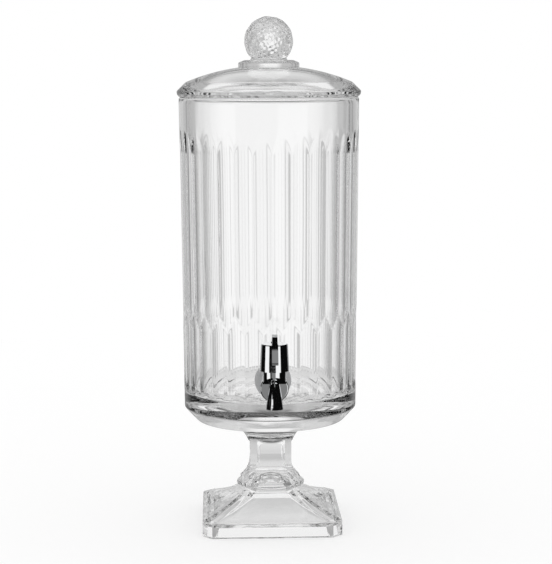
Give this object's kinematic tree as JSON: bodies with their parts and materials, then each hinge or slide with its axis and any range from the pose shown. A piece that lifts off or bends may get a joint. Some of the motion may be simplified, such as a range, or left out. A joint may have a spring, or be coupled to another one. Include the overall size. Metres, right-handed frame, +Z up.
{
  "type": "drink dispenser",
  "caption": "Fluted glass jar on a square glass pedestal, with a domed lift-off lid and a sprung lever tap.",
  "frame": {"origin": "middle of the base of the box round the whole part, on the surface it stands on; the jar's axis is 28.6 mm behind it, at +Y", "axes": "+Z up; the tap faces -Y; +X to the right seen from the front"},
  "size_m": [0.1692, 0.2266, 0.4717],
  "materials": {
    "clear_glass": "clear pressed glass",
    "tap_chrome": "bright chrome plate",
    "silicone": "translucent grey silicone",
    "white_plastic": "moulded white plastic",
    "stainless": "turned and drawn stainless steel"
  },
  "bodies": {
    "vessel": {"jar": "clear_glass", "pedestal": "clear_glass", "tap_body": "tap_chrome", "tap_bonnet": "tap_chrome", "lever_pin": "stainless", "guide_bush": "white_plastic", "stem_seal": "silicone", "guide_plate": "white_plastic", "outer_washer": "silicone", "inner_washer": "silicone", "clamp_washer": "white_plastic", "lock_nut": "white_plastic", "valve_spring": "stainless"},
    "lid": {"lid_dome": "clear_glass", "lid_knob": "clear_glass"},
    "lever": {"tap_lever": "tap_chrome"},
    "valve": {"valve_stem": "stainless", "valve_plug": "silicone", "spring_cup": "stainless", "stem_nut": "stainless"}
  },
  "joints": [
    {"name": "lid_lift", "type": "slide", "parent": "vessel", "child": "lid", "axis": [0, 0, 1], "range_m": [0, 0.09]},
    {"name": "lever_tilt", "type": "hinge", "parent": "vessel", "child": "lever", "pos_m": [0, -0.08622, 0.1799], "axis": [-1, 0, 0], "range_deg": [0, 25], "stiffness_Nm_per_rad": 0.08, "springref_deg": -20.05},
    {"name": "valve_lift", "type": "slide", "parent": "vessel", "child": "valve", "axis": [0, 0, 1], "range_m": [0, 0.0027], "deforming": ["valve_spring"]}
  ],
  "couplings": [
    {"joint": "valve_lift", "follows": "lever_tilt", "m_per_rad": 0.006}
  ]
}
